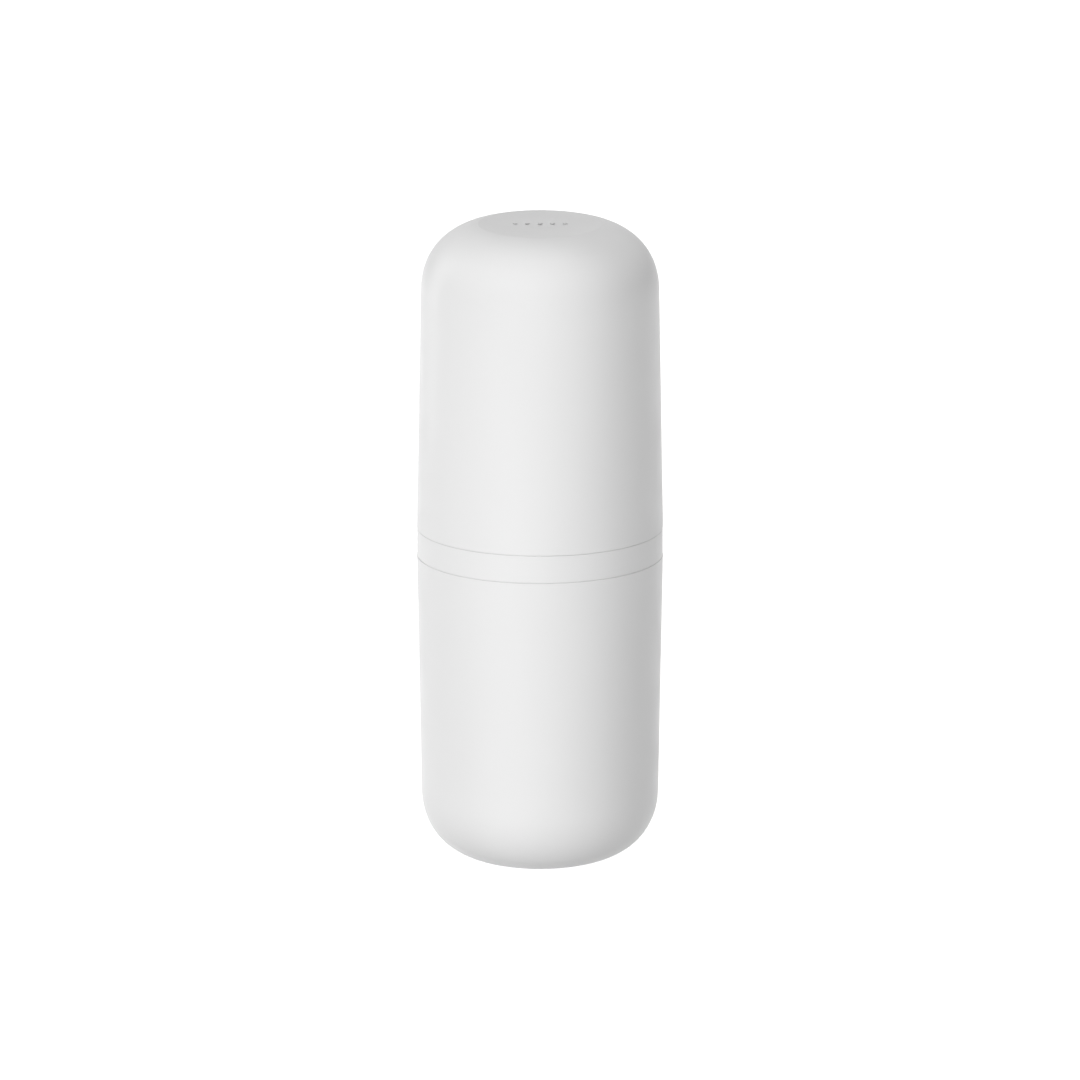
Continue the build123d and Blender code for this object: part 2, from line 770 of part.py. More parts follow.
def screw_set(name, points, seat_z, up, length):
    """One node of identical pan-head screws. Each has its head on seat_z and its shank along up."""
    with BuildPart() as screws:
        for x, y in points:
            seat = Plane(origin=(x, y, seat_z), z_dir=(0, 0, up))
            with BuildSketch(seat):
                Circle(shank_radius)
            extrude(amount=length)
            with BuildSketch(seat):
                Circle(head_radius)
            extrude(amount=-head_height)
            # cross recess
            with BuildSketch(seat.offset(-head_height)):
                Rectangle(2.2, 0.5)
                Rectangle(0.5, 2.2)
            extrude(amount=0.7, mode=Mode.SUBTRACT)
    finish(screws, name, metal)


boss_points = [polar_point(boss_circle, azimuth) for azimuth in boss_azimuths]
post_points = [polar_point(post_circle, azimuth) for azimuth in post_azimuths]
screw_set("carrier_screws", boss_points, carrier_z + head_height / 2, 1, 8.0)
screw_set("board_screws", post_points, board_top_z, -1, board_top_z - carrier_top_z + 0.2)
screw_set(
    "led_board_screws",
    [(led_screw_offset, 0), (-led_screw_offset, 0)],
    led_board_top_z,
    -1,
    led_board_top_z - carrier_top_z,
)

# ---------------------------------------------------------------- lid interlock

sensor_bottom_z = ledge_z + 1.7
sensor_top_z = sensor_bottom_z + 8.0
sensor_face = 37.5
sensor_board_thickness = 0.6
with BuildPart() as sensor_board:
    with BuildSketch(wall_plane(interlock_azimuth, sensor_face, (sensor_bottom_z + sensor_top_z) / 2)):
        Rectangle(6.0, sensor_top_z - sensor_bottom_z)
    extrude(amount=sensor_board_thickness)
finish(sensor_board, "sensor_board", green)

with BuildPart() as hall_sensor:
    with BuildSketch(wall_plane(interlock_azimuth, sensor_face + sensor_board_thickness, sensor_bottom_z + 2)):
        Rectangle(3.0, 1.6)
    extrude(amount=0.8)
finish(hall_sensor, "hall_sensor", dark)

with BuildPart() as sensor_lead:
    lead_line = sensor_face + 0.35
    with BuildLine() as sensor_path:
        FilletPolyline(
            (lead_line, 0, sensor_top_z),
            (lead_line, 0, liner_top_z - 7.5),
            (sensor_lead_radius, 0, liner_top_z - 2.5),
            (sensor_lead_radius, 0, main_board_z - 1.3),
            (sensor_lead_radius - 1.7, 0, main_board_z - 1.3),
            radius=1.4,
        )
    with BuildSketch(sensor_path.line ^ 0):
        Circle(0.4)
    sweep()
finish(sensor_lead, "sensor_lead", dark)

# ---------------------------------------------------------------- controls

with BuildPart() as button_seal:
    with BuildSketch(wall_plane(button_azimuth, button_pad_face - 0.5)):
        Circle(button_radius + 1.4)
        Circle(button_radius + 0.3, mode=Mode.SUBTRACT)
    extrude(amount=0.5)
finish(button_seal, "button_seal", silicone)

with BuildPart() as power_button:
    flange_face = button_pad_face - 0.6
    with BuildSketch(wall_plane(button_azimuth, flange_face)):
        Circle(button_radius)
    extrude(amount=8)
    # its face follows the cover and stands a little proud of it
    add(cover_form.part.moved(Location(wall_plane(button_azimuth, button_proud, 0).origin)), mode=Mode.INTERSECT)
    with BuildSketch(wall_plane(button_azimuth, flange_face - 0.8)):
        Circle(button_radius + 1.3)
    extrude(amount=0.8)
    with BuildSketch(wall_plane(button_azimuth, plunger_end)):
        Circle(1.6)
    extrude(amount=flange_face - 0.8 - plunger_end)
    outward = Axis((0, 0, 0), wall_plane(button_azimuth, 0).z_dir)
    fillet(power_button.faces().sort_by(outward)[-1].edges(), 0.4)
finish(power_button, "power_button", white)

with BuildPart() as light_pipe:
    with BuildSketch(wall_plane(light_azimuth, 34.3)):
        Circle(light_pipe_radius)
    extrude(amount=8)
    add(cover_form.part, mode=Mode.INTERSECT)
finish(light_pipe, "light_pipe", clear)

with BuildPart() as usb_cover:
    flap_plane = wall_plane(port_azimuth, flap_floor + 0.05)
    with BuildSketch(flap_plane):
        with Locations((0, hinge_bead_radius / 2)):
            RectangleRounded(flap_size[0], flap_size[1] - hinge_bead_radius, flap_corner_radius)
    extrude(amount=4)
    # the inner edge is cut back, so that it clears the pocket as the flap swings
    inward = Axis((0, 0, 0), -flap_plane.z_dir)
    chamfer(usb_cover.faces().sort_by(inward)[-1].edges(), 0.5)
    add(cover_form.part, mode=Mode.INTERSECT)
    # round bead along the lower edge, on the hinge line
    with BuildSketch(Plane(origin=hinge_point - flap_plane.x_dir * hinge_length / 2, z_dir=flap_plane.x_dir)):
        Circle(hinge_bead_radius)
    extrude(amount=hinge_length)
    # plug that closes the mouth of the socket
    with BuildSketch(wall_plane(port_azimuth, port_mouth - 0.8)):
        RectangleRounded(7.6, 1.0, 0.4)
    extrude(amount=flap_floor + 0.05 - port_mouth + 0.8)
finish(usb_cover, "usb_cover", silicone)
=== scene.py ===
import json
import math

import bmesh
import bpy
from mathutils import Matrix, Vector
from mathutils.bvhtree import BVHTree


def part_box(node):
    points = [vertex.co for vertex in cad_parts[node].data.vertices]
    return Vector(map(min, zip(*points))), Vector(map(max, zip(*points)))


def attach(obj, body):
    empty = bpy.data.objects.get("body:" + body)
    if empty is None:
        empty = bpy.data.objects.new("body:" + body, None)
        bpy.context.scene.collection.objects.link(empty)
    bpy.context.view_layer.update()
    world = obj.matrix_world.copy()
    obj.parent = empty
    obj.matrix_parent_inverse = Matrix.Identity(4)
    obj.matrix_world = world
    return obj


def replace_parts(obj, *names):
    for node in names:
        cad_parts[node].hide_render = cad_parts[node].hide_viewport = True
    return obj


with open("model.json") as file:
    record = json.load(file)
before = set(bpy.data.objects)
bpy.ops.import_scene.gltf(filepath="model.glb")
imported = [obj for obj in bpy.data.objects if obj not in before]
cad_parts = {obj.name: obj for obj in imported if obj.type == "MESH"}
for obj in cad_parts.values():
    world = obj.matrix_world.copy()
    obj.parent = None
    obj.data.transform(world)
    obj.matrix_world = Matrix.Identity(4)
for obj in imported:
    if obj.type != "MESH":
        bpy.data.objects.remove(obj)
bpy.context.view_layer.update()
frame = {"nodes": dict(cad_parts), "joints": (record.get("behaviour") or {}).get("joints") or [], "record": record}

nodes = frame["nodes"]
slot_of = {part["node"]: part["material_slot"] for part in frame["record"]["subparts"]}

MM = 0.001
# the colour sockets of a Mix node, by index because their names repeat
MIX_FACTOR, MIX_FIRST, MIX_SECOND, MIX_RESULT = 0, 6, 7, 2


# ---------------------------------------------------------------- materials


def node_material(name):
    """A new node material with its tree and its shader."""
    material = bpy.data.materials.new(name)
    material.use_nodes = True
    tree = material.node_tree
    return material, tree, tree.nodes["Principled BSDF"]


def object_coordinates(tree, stretch=(1, 1, 1)):
    """Object coordinates, which ride with the piece, with each axis scaled."""
    source = tree.nodes.new("ShaderNodeTexCoord")
    mapping = tree.nodes.new("ShaderNodeMapping")
    mapping.inputs["Scale"].default_value = stretch
    tree.links.new(source.outputs["Object"], mapping.inputs["Vector"])
    return mapping.outputs["Vector"]


def noise(tree, vector, scale, detail=3.0, roughness=0.5):
    """The value of a noise texture whose scale is in bumps per metre."""
    texture = tree.nodes.new("ShaderNodeTexNoise")
    texture.inputs["Scale"].default_value = scale
    texture.inputs["Detail"].default_value = detail
    texture.inputs["Roughness"].default_value = roughness
    tree.links.new(vector, texture.inputs["Vector"])
    return texture.outputs["Fac"]


def remap(tree, value, low, high, start=0.3, end=0.7):
    """A value stretched to run from low to high."""
    node = tree.nodes.new("ShaderNodeMapRange")
    node.inputs["From Min"].default_value = start
    node.inputs["From Max"].default_value = end
    node.inputs["To Min"].default_value = low
    node.inputs["To Max"].default_value = high
    tree.links.new(value, node.inputs["Value"])
    return node.outputs["Result"]


def mix_colours(tree, value, first, second):
    """Two colours, fixed or from other nodes, mixed by a value."""
    node = tree.nodes.new("ShaderNodeMix")
    node.data_type = "RGBA"
    tree.links.new(value, node.inputs[MIX_FACTOR])
    for index, colour in ((MIX_FIRST, first), (MIX_SECOND, second)):
        if isinstance(colour, tuple):
            node.inputs[index].default_value = (*colour, 1)
        else:
            tree.links.new(colour, node.inputs[index])
    return node.outputs[MIX_RESULT]


def bump(tree, shader, height, strength, distance):
    """Relief on the shader's surface, with its depth in metres."""
    node = tree.nodes.new("ShaderNodeBump")
    node.inputs["Strength"].default_value = strength
    node.inputs["Distance"].default_value = distance
    tree.links.new(height, node.inputs["Height"])
    tree.links.new(node.outputs["Normal"], shader.inputs["Normal"])


def mask_above(tree, value, edge, width=0.05 * MM):
    """0 below an edge and 1 above it, with a narrow ramp between."""
    return remap(tree, value, 0, 1, edge - width, edge + width)


def join(tree, operation, *values):
    """Values and numbers put through a maths node, in the order of its sockets."""
    node = tree.nodes.new("ShaderNodeMath")
    node.operation = operation
    for socket, value in zip(node.inputs, values):
        if isinstance(value, (int, float)):
            socket.default_value = value
        else:
            tree.links.new(value, socket)
    return node.outputs[0]


def axes(tree, vector):
    """The x, y and z of a vector."""
    node = tree.nodes.new("ShaderNodeSeparateXYZ")
    tree.links.new(vector, node.inputs[0])
    return node.outputs


def shade(colour, amount):
    """A colour made lighter or darker."""
    return tuple(min(1.0, channel * amount) for channel in colour)


def moulded_plastic(name, colour, roughness, grain=1100.0, relief=0.0015 * MM, spread=0.975):
    """Injection-moulded plastic: faint flow tint, uneven polish and a fine skin."""
    material, tree, shader = node_material(name)
    vector = object_coordinates(tree)
    flow = noise(tree, object_coordinates(tree, (1, 1, 0.35)), 26.0, 2.0)
    tint = mix_colours(tree, remap(tree, flow, 0, 1), colour, shade(colour, spread))
    tree.links.new(tint, shader.inputs["Base Color"])
    polish = noise(tree, vector, 90.0, 4.0)
    tree.links.new(remap(tree, polish, roughness - 0.03, roughness + 0.04), shader.inputs["Roughness"])
    bump(tree, shader, noise(tree, vector, grain, 2.0), 0.25, relief)
    shader.inputs["IOR"].default_value = 1.5
    return material


def rubber(name, colour, clear, roughness=0.5):
    """Silicone rubber: milky, softly lit from inside, with lint-sized specks and a matt skin."""
    material, tree, shader = node_material(name)
    vector = object_coordinates(tree)
    cloud = noise(tree, vector, 160.0, 3.0)
    tint = mix_colours(tree, remap(tree, cloud, 0, 1), colour, shade(colour, 0.93))
    specks = remap(tree, noise(tree, vector, 2600.0, 1.0), 0, 1, 0.68, 0.74)
    dust = mix_colours(tree, cloud, shade(colour, 1.12), shade(colour, 1.2))
    dusty = mix_colours(tree, specks, tint, dust)
    tree.links.new(dusty, shader.inputs["Base Color"])
    tree.links.new(remap(tree, cloud, roughness - 0.06, roughness + 0.08), shader.inputs["Roughness"])
    bump(tree, shader, noise(tree, vector, 3200.0, 3.0), 0.35, 0.006 * MM)
    shader.inputs["Subsurface Weight"].default_value = clear
    shader.inputs["Subsurface Radius"].default_value = (1.0, 1.0, 1.0)
    shader.inputs["Subsurface Scale"].default_value = 1.2 * MM
    shader.inputs["IOR"].default_value = 1.41
    return material


def drawn_metal(name, colour, roughness, line, stretch, relief, anisotropy):
    """Drawn or turned metal: fine lines along the work, and small changes of polish."""
    material, tree, shader = node_material(name)
    lines = noise(tree, object_coordinates(tree, stretch), line, 3.0, 0.6)
    stain = noise(tree, object_coordinates(tree), 70.0, 4.0, 0.6)
    tint = mix_colours(tree, remap(tree, stain, 0, 1, 0.35, 0.7), colour, shade(colour, 0.9))
    tree.links.new(tint, shader.inputs["Base Color"])
    worn = join(tree, "MULTIPLY_ADD", stain, 0.12, roughness - 0.1)
    streaky = join(tree, "MULTIPLY_ADD", lines, 0.1, worn)
    tree.links.new(streaky, shader.inputs["Roughness"])
    bump(tree, shader, lines, 0.3, relief)
    shader.inputs["Metallic"].default_value = 1.0
    shader.inputs["Anisotropic"].default_value = anisotropy
    return material


def clear_solid(name, colour, roughness, index, clear, haze):
    """Glass or clear plastic, with polish that varies a little and faint striae inside."""
    material, tree, shader = node_material(name)
    vector = object_coordinates(tree)
    striae = noise(tree, object_coordinates(tree, (1, 1, 5)), 120.0, 3.0)
    tint = mix_colours(tree, remap(tree, striae, 0, 1), colour, shade(colour, 0.96))
    tree.links.new(tint, shader.inputs["Base Color"])
    smears = noise(tree, vector, 300.0, 4.0, 0.6)
    tree.links.new(remap(tree, smears, roughness, roughness + haze, 0.4, 0.75), shader.inputs["Roughness"])
    bump(tree, shader, smears, 0.2, 0.002 * MM)
    shader.inputs["Transmission Weight"].default_value = clear
    shader.inputs["IOR"].default_value = index
    return material


def circuit_board(name, mask, copper, core, gloss, pitch):
    """A circuit board: solder mask over tracks and vias on its faces, bare core at its edges."""
    material, tree, shader = node_material(name)
    vector = object_coordinates(tree)
    # tracks: the joints between large cells, run square to the board
    cells = tree.nodes.new("ShaderNodeTexVoronoi")
    cells.distance = "CHEBYCHEV"
    cells.feature = "F1"
    cells.inputs["Scale"].default_value = pitch
    cells.inputs["Randomness"].default_value = 0.85
    tree.links.new(vector, cells.inputs["Vector"])
    tracks = join(tree, "FRACT", join(tree, "MULTIPLY", cells.outputs["Distance"], 7.0))
    on_track = mask_above(tree, tracks, 0.62, 0.04)
    # vias: small dots on a finer grid
    dots = tree.nodes.new("ShaderNodeTexVoronoi")
    dots.inputs["Scale"].default_value = pitch * 2.2
    tree.links.new(vector, dots.inputs["Vector"])
    via = join(tree, "LESS_THAN", dots.outputs["Distance"], 0.085)
    field = mix_colours(tree, on_track, mask, copper)
    tinned = mix_colours(tree, via, (0, 0, 0), (0.62, 0.6, 0.52))
    face = mix_colours(tree, via, field, tinned)
    # the edges, where the board was routed out
    source = tree.nodes.new("ShaderNodeTexCoord")
    upright = join(tree, "ABSOLUTE", axes(tree, source.outputs["Normal"])[2])
    flat = mask_above(tree, upright, 0.7, 0.1)
    grain = noise(tree, object_coordinates(tree, (1, 1, 6)), 900.0, 3.0)
    edge = mix_colours(tree, grain, core, shade(core, 0.75))
    tree.links.new(mix_colours(tree, flat, edge, face), shader.inputs["Base Color"])
    tree.links.new(remap(tree, flat, 0.75, gloss, 0, 1), shader.inputs["Roughness"])
    tree.links.new(join(tree, "MULTIPLY", via, 0.9), shader.inputs["Metallic"])
    bump(tree, shader, join(tree, "SUBTRACT", on_track, via), 0.5, 0.02 * MM)
    return material


def shrink_wrapped_cell(name, wrap, crease_start, sleeve_end):
    """A cell in shrink sleeve: creased near its ends, then bare steel past them."""
    material, tree, shader = node_material(name)
    vector = object_coordinates(tree)
    along = join(tree, "ABSOLUTE", axes(tree, vector)[0])
    bare = mask_above(tree, along, sleeve_end)
    cloud = noise(tree, object_coordinates(tree, (0.3, 1, 1)), 220.0, 3.0)
    sleeve = mix_colours(tree, remap(tree, cloud, 0, 1), wrap, shade(wrap, 1.25))
    steel = mix_colours(tree, cloud, (0.6, 0.6, 0.61), (0.45, 0.45, 0.47))
    tree.links.new(mix_colours(tree, bare, sleeve, steel), shader.inputs["Base Color"])
    tree.links.new(bare, shader.inputs["Metallic"])
    tree.links.new(remap(tree, cloud, 0.24, 0.36), shader.inputs["Roughness"])
    # creases where the sleeve shrank over the ends
    creases = noise(tree, object_coordinates(tree, (0.15, 1, 1)), 1400.0, 2.0)
    near_end = remap(tree, along, 0, 1, crease_start, sleeve_end)
    bump(tree, shader, join(tree, "MULTIPLY", creases, near_end), 0.6, 0.05 * MM)
    return material


def paint_seam_shade(material, heights, reach, amount):
    """Paints shade into a moulded plastic, darkening its colour a little within reach of the seams."""
    tree = material.node_tree
    shader = tree.nodes["Principled BSDF"]
    unshaded_colour = shader.inputs["Base Color"].links[0].from_socket
    level = axes(tree, object_coordinates(tree))[2]
    gaps = [join(tree, "ABSOLUTE", join(tree, "SUBTRACT", level, height)) for height in heights]
    near = remap(tree, join(tree, "MINIMUM", *gaps), 1, 0, reach * 0.8, reach)
    # painted shade: the colour is darkened near the seams, standing in for shadow in their grooves
    seam_shade = join(tree, "SUBTRACT", 1.0, join(tree, "MULTIPLY", near, 1 - amount))
    scaled = tree.nodes.new("ShaderNodeVectorMath")
    scaled.operation = "SCALE"
    tree.links.new(unshaded_colour, scaled.inputs[0])
    tree.links.new(seam_shade, scaled.inputs["Scale"])
    tree.links.new(scaled.outputs[0], shader.inputs["Base Color"])
    return material


seam_heights = (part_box("lower_cup")[1][2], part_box("upper_cover")[0][2])
looks = {
    # the white shell gets painted shade near its seams
    "white_shell": paint_seam_shade(
        moulded_plastic("white_shell", (0.8, 0.8, 0.8), 0.38), seam_heights, reach=0.2 * MM, amount=0.88
    ),
    "white_inner": moulded_plastic(
        "white_inner", (0.76, 0.76, 0.755), 0.52, grain=2600.0, relief=0.008 * MM, spread=0.96
    ),
    "silicone": rubber("silicone", (0.5, 0.52, 0.53), clear=0.35),
    "flap_silicone": rubber("flap_silicone", (0.76, 0.76, 0.755), clear=0.25),
    "polished_liner": drawn_metal(
        "polished_liner",
        (0.87, 0.88, 0.89),
        0.16,
        line=900.0,
        stretch=(0.04, 0.04, 1),
        relief=0.004 * MM,
        anisotropy=0.4,
    ),
    "quartz": clear_solid("quartz", (0.97, 0.985, 1.0), 0.02, index=1.46, clear=1.0, haze=0.05),
    "clear_plastic": clear_solid(
        "clear_plastic", (0.93, 0.95, 0.96), 0.22, index=1.49, clear=0.8, haze=0.12
    ),
    "board_white": circuit_board(
        "board_white",
        mask=(0.78, 0.79, 0.78),
        copper=(0.71, 0.72, 0.7),
        core=(0.55, 0.56, 0.57),
        gloss=0.34,
        pitch=190.0,
    ),
    "led_package": moulded_plastic(
        "led_package", (0.8, 0.74, 0.52), 0.5, grain=3000.0, relief=0.006 * MM, spread=0.93
    ),
    "board_green": circuit_board(
        "board_green",
        mask=(0.012, 0.1, 0.04),
        copper=(0.025, 0.17, 0.06),
        core=(0.5, 0.47, 0.26),
        gloss=0.3,
        pitch=210.0,
    ),
    "black_plastic": moulded_plastic(
        "black_plastic", (0.022, 0.022, 0.024), 0.5, grain=2800.0, relief=0.01 * MM, spread=1.5
    ),
    "lead_sleeve": rubber("lead_sleeve", (0.02, 0.02, 0.022), clear=0.0, roughness=0.42),
    "steel": drawn_metal(
        "steel",
        (0.62, 0.62, 0.61),
        0.3,
        line=1500.0,
        stretch=(1, 1, 0.08),
        relief=0.006 * MM,
        anisotropy=0.2,
    ),
    "magnet_plate": drawn_metal(
        "magnet_plate",
        (0.7, 0.7, 0.7),
        0.2,
        line=700.0,
        stretch=(1, 1, 1),
        relief=0.003 * MM,
        anisotropy=0.0,
    ),
    "cell_wrap": shrink_wrapped_cell(
        "cell_wrap", (0.012, 0.085, 0.24), crease_start=21.5 * MM, sleeve_end=24.3 * MM
    ),
}
for name, node in nodes.items():
    node.data.materials.clear()
    node.data.materials.append(looks[slot_of[name]])

# ---------------------------------------------------------------- small pieces

# vertices of a CAD node closer than this are one vertex
WELD = 0.001 * MM
# a loop's squareness: round, a square with soft corners, and nearly a square
ROUND, SOFT_SQUARE, SQUARE = 2, 8, 20
BLOCK_POINTS = 16
SHARP_EDGE = math.radians(35)


def islands(node_name):
    """The box of each separate solid in a CAD node, in a fixed order."""
    copy = bmesh.new()
    copy.from_mesh(nodes[node_name].data)
    bmesh.ops.remove_doubles(copy, verts=copy.verts, dist=WELD)
    left = set(copy.verts)
    boxes = []
    while left:
        grown = {left.pop()}
        edge_of_growth = list(grown)
        while edge_of_growth:
            vertex = edge_of_growth.pop()
            for edge in vertex.link_edges:
                other = edge.other_vert(vertex)
                if other not in grown:
                    grown.add(other)
                    edge_of_growth.append(other)
        left -= grown
        places = [v.co for v in grown]
        low = Vector(min(c[i] for c in places) for i in range(3))
        high = Vector(max(c[i] for c in places) for i in range(3))
        boxes.append((low, high))
    copy.free()
    return sorted(boxes, key=lambda pair: tuple(round(c, 5) for c in pair[0]))


def ring(centre, half_x, half_y, z, squareness=ROUND, count=32):
    """A level loop of points, from round to nearly a rectangle."""
    points = []
    for step in range(count):
        angle = 2 * math.pi * (step + 0.5) / count
        across = math.copysign(abs(math.cos(angle)) ** (2 / squareness), math.cos(angle))
        along = math.copysign(abs(math.sin(angle)) ** (2 / squareness), math.sin(angle))
        points.append(Vector((centre.x + half_x * across, centre.y + half_y * along, z)))
    return points


def turned(centre, base, outline, squareness=ROUND):
    """Level loops from an outline of (radius, height above the base) in millimetres."""
    return [ring(centre, r * MM, r * MM, base + h * MM, squareness) for r, h in outline]


def loft(mesh, rings):
    """A closed skin through a row of loops."""
    rows = [[mesh.verts.new(point) for point in points] for points in rings]
    for lower, upper in zip(rows, rows[1:]):
        for index in range(len(lower)):
            after = (index + 1) % len(lower)
            mesh.faces.new((lower[index], lower[after], upper[after], upper[index]))
    mesh.faces.new(rows[0][::-1])
    mesh.faces.new(rows[-1])


def block(mesh, low, high, bevel):
    """A box with bevelled edges between two corners."""
    middle = (low + high) / 2
    half = (high - low) / 2
    inset = Vector((half.x - bevel, half.y - bevel, 0))
    levels = ((inset, low.z), (half, low.z + bevel), (half, high.z - bevel), (inset, high.z))
    loft(mesh, [ring(middle, size.x, size.y, z, SQUARE, BLOCK_POINTS) for size, z in levels])


def add_piece(name, mesh, body, slot_name, look=None):
    """Turns worked geometry into a piece that rides on a body."""
    bmesh.ops.recalc_face_normals(mesh, faces=mesh.faces)
    data = bpy.data.meshes.new(name)
    mesh.to_mesh(data)
    mesh.free()
    data.shade_smooth()
    data.set_sharp_from_angle(angle=SHARP_EDGE)
    data.materials.append(look or looks[slot_name])
    thing = bpy.data.objects.new(name, data)
    bpy.context.scene.collection.objects.link(thing)
    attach(thing, body)
    return thing


def emitter_die():
    """The lamp's die: dark violet, with fine contact fingers."""
    material, tree, shader = node_material("emitter_die")
    fingers = tree.nodes.new("ShaderNodeTexWave")
    fingers.inputs["Scale"].default_value = 1900.0
    tree.links.new(object_coordinates(tree), fingers.inputs["Vector"])
    line = mask_above(tree, fingers.outputs["Fac"], 0.8, 0.1)
    colour = mix_colours(tree, line, (0.05, 0.035, 0.09), (0.7, 0.55, 0.25))
    tree.links.new(colour, shader.inputs["Base Color"])
    tree.links.new(line, shader.inputs["Metallic"])
    shader.inputs["Roughness"].default_value = 0.2
    return material


# the four lamps, facing down: a ceramic cup, a die on its floor and a quartz lid in its mouth;
# their outlines are (radius, height above the mouth) in millimetres
CUP_BORE = ((1.40, 0.0), (1.40, 0.35), (1.15, 0.35), (0.95, 0.95))
LID = ((1.30, 0.03), (1.36, 0.08), (1.36, 0.28), (1.30, 0.33))
CUP_BEVEL = 0.10 * MM
DIE_HALF = 0.5 * MM
DIE_FRONT = 0.72 * MM
DIE_BACK = 0.94 * MM

cups = bmesh.new()
dies = bmesh.new()
lids = bmesh.new()
for low, high in islands("uv_leds"):
    middle = (low + high) / 2
    half = (high.x - low.x) / 2
    mouth = low.z
    walls = [
        ring(middle, half, half, high.z, SQUARE),
        ring(middle, half, half, mouth + CUP_BEVEL, SQUARE),
        ring(middle, half - CUP_BEVEL, half - CUP_BEVEL, mouth, SQUARE),
    ]
    loft(cups, walls + turned(middle, mouth, CUP_BORE))
    loft(lids, turned(middle, mouth, LID))
    die_low = Vector((middle.x - DIE_HALF, middle.y - DIE_HALF, mouth + DIE_FRONT))
    die_high = Vector((middle.x + DIE_HALF, middle.y + DIE_HALF, mouth + DIE_BACK))
    block(dies, die_low, die_high, 0.04 * MM)
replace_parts(add_piece("lamp_cups", cups, "cover", "led_package"), "uv_leds")
add_piece("lamp_lids", lids, "cover", "quartz")
add_piece("lamp_dies", dies, "cover", "led_package", emitter_die())

# the parts on the main board; outlines are (radius, height above the board) in millimetres
CAN = (
    (2.5, 0.7),
    (2.5, 1.1),
    (2.3, 1.3),
    (2.3, 1.5),
    (2.5, 1.7),
    (2.5, 3.9),
    (2.3, 4.1),
    (1.9, 4.1),
    (1.8, 4.0),
)
COIL_CASE = ((2.6, 0.05), (2.9, 0.3), (2.9, 2.4), (2.7, 2.7))
COIL_CORE = ((2.1, 2.7), (2.0, 2.55), (1.4, 2.55), (1.3, 2.7))
COIL_TAB_HALF = Vector((0.35, 1.2, 0)) * MM
COIL_TAB_THICK = Vector((0, 0, 0.25)) * MM
CERAMIC_INSET = Vector((0.35, 0.03, 0.03)) * MM
TINNED_END = 0.4 * MM
LEG_REACH = 0.55 * MM
LEG_PITCH = 0.8 * MM
LEG_HALF_WIDTH = 0.16 * MM
LEG_THICK = 0.12 * MM
LEG_TOP = 0.52 * MM
CHIP_GAP = 0.1 * MM


def can_capacitor(mouldings, leads, low, high):
    """A capacitor can with a pinched neck, on its square foot."""
    foot_top = low.z + CAN[0][1] * MM
    block(mouldings, low, Vector((high.x, high.y, foot_top)), 0.15 * MM)
    loft(leads, turned((low + high) / 2, low.z, CAN))


def shielded_coil(mouldings, leads, low, high):
    """A shielded coil, with the round core in its top and a tab under two sides."""
    middle = (low + high) / 2
    case = turned(middle, low.z, COIL_CASE, SOFT_SQUARE)
    loft(mouldings, case + turned(middle, low.z, COIL_CORE))
    for side in (-1, 1):
        foot = Vector((middle.x + side * COIL_CASE[0][0] * MM, middle.y, low.z))
        block(leads, foot - COIL_TAB_HALF, foot + COIL_TAB_HALF + COIL_TAB_THICK, 0.05 * MM)


def ceramic_chip(mouldings, leads, low, high):
    """A ceramic chip with tinned ends, a little larger than its body."""
    block(mouldings, low + CERAMIC_INSET, high - CERAMIC_INSET, 0.05 * MM)
    for start in (low.x, high.x - TINNED_END):
        end_high = Vector((start + TINNED_END, high.y, high.z))
        block(leads, Vector((start, low.y, low.z)), end_high, 0.07 * MM)


def cranked_leg(leads, root, tip, y, board):
    """One leg: out from the chip at root, down, and out along the board to its tip."""
    bend = (root + tip) / 2
    spans = (
        (root, bend, LEG_TOP - LEG_THICK, LEG_TOP),
        (bend - LEG_THICK / 2, bend + LEG_THICK / 2, 0, LEG_TOP),
        (bend, tip, 0, LEG_THICK),
    )
    for start, end, bottom, top in spans:
        leg_low = Vector((min(start, end), y - LEG_HALF_WIDTH, board + bottom))
        leg_high = Vector((max(start, end), y + LEG_HALF_WIDTH, board + top))
        block(leads, leg_low, leg_high, 0.03 * MM)


def legged_chip(mouldings, leads, low, high):
    """A moulded chip with a row of cranked legs down two sides."""
    middle = (low + high) / 2
    half = (high - low) / 2
    body_low = Vector((low.x + LEG_REACH, low.y, low.z + CHIP_GAP))
    block(mouldings, body_low, Vector((high.x - LEG_REACH, high.y, high.z)), 0.12 * MM)
    count = max(3, int(half.y * 2 / LEG_PITCH))
    for index in range(count):
        y = low.y + (index + 0.5) * 2 * half.y / count
        for side in (-1, 1):
            root = middle.x + side * (half.x - LEG_REACH)
            cranked_leg(leads, root, middle.x + side * half.x, y, low.z)


def part_for(half):
    """The function that draws a part of this half size."""
    if half.z > 2 * MM:
        return can_capacitor
    if half.z > 1 * MM:
        return shielded_coil
    if max(half.x, half.y) < 1.2 * MM:
        return ceramic_chip
    return legged_chip


mouldings = bmesh.new()
leads = bmesh.new()
for low, high in islands("board_chips"):
    draw = part_for((high - low) / 2)
    draw(mouldings, leads, low, high)
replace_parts(add_piece("chip_mouldings", mouldings, "cover", "black_plastic"), "board_chips")
add_piece("chip_leads", leads, "cover", "steel")

# the power sign printed on the button: a broken ring and a bar, laid on the button's own face
button_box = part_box("power_button")
press = next(joint for joint in frame["joints"] if joint["name"] == "button_press")
inward = Vector(press["axis"]).normalized()
sideways = Vector((0, 0, 1)).cross(inward).normalized()
# outside the cover, level with the button's middle
RAY_START = 60 * MM
outside = Vector((0, 0, (button_box[0][2] + button_box[1][2]) / 2)) - inward * RAY_START
button_tree = BVHTree.FromPolygons(
    [vertex.co for vertex in nodes["power_button"].data.vertices],
    [polygon.vertices for polygon in nodes["power_button"].data.polygons],
)
SIGN_RADIUS = 1.9 * MM
SIGN_LINE = 0.34 * MM
SIGN_PROUD = 0.03 * MM
